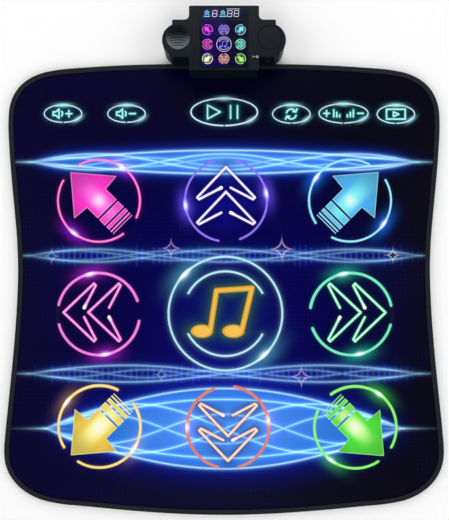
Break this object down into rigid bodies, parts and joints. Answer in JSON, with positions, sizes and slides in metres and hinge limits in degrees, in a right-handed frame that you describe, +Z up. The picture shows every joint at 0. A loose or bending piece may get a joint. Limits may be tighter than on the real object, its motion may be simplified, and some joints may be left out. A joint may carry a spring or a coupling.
{
  "type": "electronic dance mat",
  "caption": "Padded floor mat with round sprung step pads, a row of touch keys and a battery-powered console clamped to its back edge.",
  "frame": {"origin": "on the floor, under the middle of the whole object", "axes": "+X to the player's right, +Y from the player towards the console, +Z up"},
  "size_m": [0.899, 1.018, 0.05],
  "materials": {
    "backing": "black non-slip cloth with raised grip dots",
    "film": "thin translucent plastic film with silver conductive print",
    "foam": "grey soft foam sheet",
    "print": "printed soft PVC cloth, satin, dark blue with bright printed light lines",
    "binding": "black woven binding tape with stitching",
    "case": "black moulded ABS, fine satin texture",
    "grille": "dark grey moulded ABS",
    "icon_panel": "dark violet-blue printed translucent panel",
    "display_window": "smoked dark blue window, glossy",
    "board": "green circuit board",
    "guide": "white diffusing light guide",
    "display": "dark display module",
    "steel": "nickel-plated steel",
    "spring_steel": "bright spring steel",
    "slider": "black ABS with grip ribs",
    "paper": "black speaker paper",
    "cell": "plain grey battery jacket",
    "foot_rubber": "black rubber",
    "contact": "conductive black rubber-faced foam",
    "key": "printed soft PVC cloth with a pale cyan outline",
    "pad_up_left": "printed soft PVC cloth, hot pink arrow",
    "pad_up": "printed soft PVC cloth, lavender arrows",
    "pad_up_right": "printed soft PVC cloth, blue arrow",
    "pad_left": "printed soft PVC cloth, pink arrows",
    "pad_centre": "printed soft PVC cloth, cyan rings with an orange note",
    "pad_right": "printed soft PVC cloth, mint arrows",
    "pad_down_left": "printed soft PVC cloth, gold arrow",
    "pad_down": "printed soft PVC cloth, orange arrows",
    "pad_down_right": "printed soft PVC cloth, lime arrow"
  },
  "bodies": {
    "mat": {"backing": "backing", "contact_film": "film", "foam_core": "foam", "printed_cover": "print", "edge_binding": "binding", "ribbon_tail": "film", "console_base": "case", "console_cover": "case", "blank_cap": "case", "speaker_grille": "grille", "icon_panel": "icon_panel", "display_window": "display_window", "main_board": "board", "light_guide": "guide", "digit_display": "display", "power_switch_body": "steel", "speaker_basket": "steel", "speaker_cone": "paper", "battery_1": "cell", "battery_2": "cell", "battery_3": "cell", "battery_contact_front": "spring_steel", "battery_contact_back": "spring_steel", "case_screw_1": "steel", "case_screw_2": "steel", "case_screw_3": "steel", "case_screw_4": "steel", "clamp_bar": "steel", "clamp_screw_1": "steel", "clamp_screw_2": "steel", "foot_left": "foot_rubber", "foot_right": "foot_rubber"},
    "step_up_left": {"pad_up_left": "pad_up_left", "contact_up_left": "contact"},
    "step_up": {"pad_up": "pad_up", "contact_up": "contact"},
    "step_up_right": {"pad_up_right": "pad_up_right", "contact_up_right": "contact"},
    "step_left": {"pad_left": "pad_left", "contact_left": "contact"},
    "step_centre": {"pad_centre": "pad_centre", "contact_centre": "contact"},
    "step_right": {"pad_right": "pad_right", "contact_right": "contact"},
    "step_down_left": {"pad_down_left": "pad_down_left", "contact_down_left": "contact"},
    "step_down": {"pad_down": "pad_down", "contact_down": "contact"},
    "step_down_right": {"pad_down_right": "pad_down_right", "contact_down_right": "contact"},
    "key_volume_up": {"key_volume_up": "key"},
    "key_volume_down": {"key_volume_down": "key"},
    "key_start_pause": {"key_start_pause": "key"},
    "key_mode": {"key_mode": "key"},
    "key_level_up": {"key_level_up": "key"},
    "key_level_down": {"key_level_down": "key"},
    "key_demo": {"key_demo": "key"},
    "power_switch": {"power_switch_slider": "slider"},
    "battery_door": {"battery_door": "case"}
  },
  "joints": [
    {"name": "press_up_left", "type": "slide", "parent": "mat", "child": "step_up_left", "axis": [0, 0, -1], "range_m": [0, 0.002], "stiffness_N_per_m": 5000, "springref_m": -0.0003},
    {"name": "press_up", "type": "slide", "parent": "mat", "child": "step_up", "axis": [0, 0, -1], "range_m": [0, 0.002], "stiffness_N_per_m": 5000, "springref_m": -0.0003},
    {"name": "press_up_right", "type": "slide", "parent": "mat", "child": "step_up_right", "axis": [0, 0, -1], "range_m": [0, 0.002], "stiffness_N_per_m": 5000, "springref_m": -0.0003},
    {"name": "press_left", "type": "slide", "parent": "mat", "child": "step_left", "axis": [0, 0, -1], "range_m": [0, 0.002], "stiffness_N_per_m": 5000, "springref_m": -0.0003},
    {"name": "press_centre", "type": "slide", "parent": "mat", "child": "step_centre", "axis": [0, 0, -1], "range_m": [0, 0.002], "stiffness_N_per_m": 5000, "springref_m": -0.0003},
    {"name": "press_right", "type": "slide", "parent": "mat", "child": "step_right", "axis": [0, 0, -1], "range_m": [0, 0.002], "stiffness_N_per_m": 5000, "springref_m": -0.0003},
    {"name": "press_down_left", "type": "slide", "parent": "mat", "child": "step_down_left", "axis": [0, 0, -1], "range_m": [0, 0.002], "stiffness_N_per_m": 5000, "springref_m": -0.0003},
    {"name": "press_down", "type": "slide", "parent": "mat", "child": "step_down", "axis": [0, 0, -1], "range_m": [0, 0.002], "stiffness_N_per_m": 5000, "springref_m": -0.0003},
    {"name": "press_down_right", "type": "slide", "parent": "mat", "child": "step_down_right", "axis": [0, 0, -1], "range_m": [0, 0.002], "stiffness_N_per_m": 5000, "springref_m": -0.0003},
    {"name": "press_volume_up", "type": "slide", "parent": "mat", "child": "key_volume_up", "axis": [0, 0, -1], "range_m": [0, 0.0012], "stiffness_N_per_m": 1500, "springref_m": -0.0003},
    {"name": "press_volume_down", "type": "slide", "parent": "mat", "child": "key_volume_down", "axis": [0, 0, -1], "range_m": [0, 0.0012], "stiffness_N_per_m": 1500, "springref_m": -0.0003},
    {"name": "press_start_pause", "type": "slide", "parent": "mat", "child": "key_start_pause", "axis": [0, 0, -1], "range_m": [0, 0.0012], "stiffness_N_per_m": 1500, "springref_m": -0.0003},
    {"name": "press_mode", "type": "slide", "parent": "mat", "child": "key_mode", "axis": [0, 0, -1], "range_m": [0, 0.0012], "stiffness_N_per_m": 1500, "springref_m": -0.0003},
    {"name": "press_level_up", "type": "slide", "parent": "mat", "child": "key_level_up", "axis": [0, 0, -1], "range_m": [0, 0.0012], "stiffness_N_per_m": 1500, "springref_m": -0.0003},
    {"name": "press_level_down", "type": "slide", "parent": "mat", "child": "key_level_down", "axis": [0, 0, -1], "range_m": [0, 0.0012], "stiffness_N_per_m": 1500, "springref_m": -0.0003},
    {"name": "press_demo", "type": "slide", "parent": "mat", "child": "key_demo", "axis": [0, 0, -1], "range_m": [0, 0.0012], "stiffness_N_per_m": 1500, "springref_m": -0.0003},
    {"name": "switch_slide", "type": "slide", "parent": "mat", "child": "power_switch", "axis": [1, 0, 0], "range_m": [0, 0.004]},
    {"name": "door_slide", "type": "slide", "parent": "mat", "child": "battery_door", "axis": [0, 1, 0], "range_m": [0, 0.06]}
  ]
}
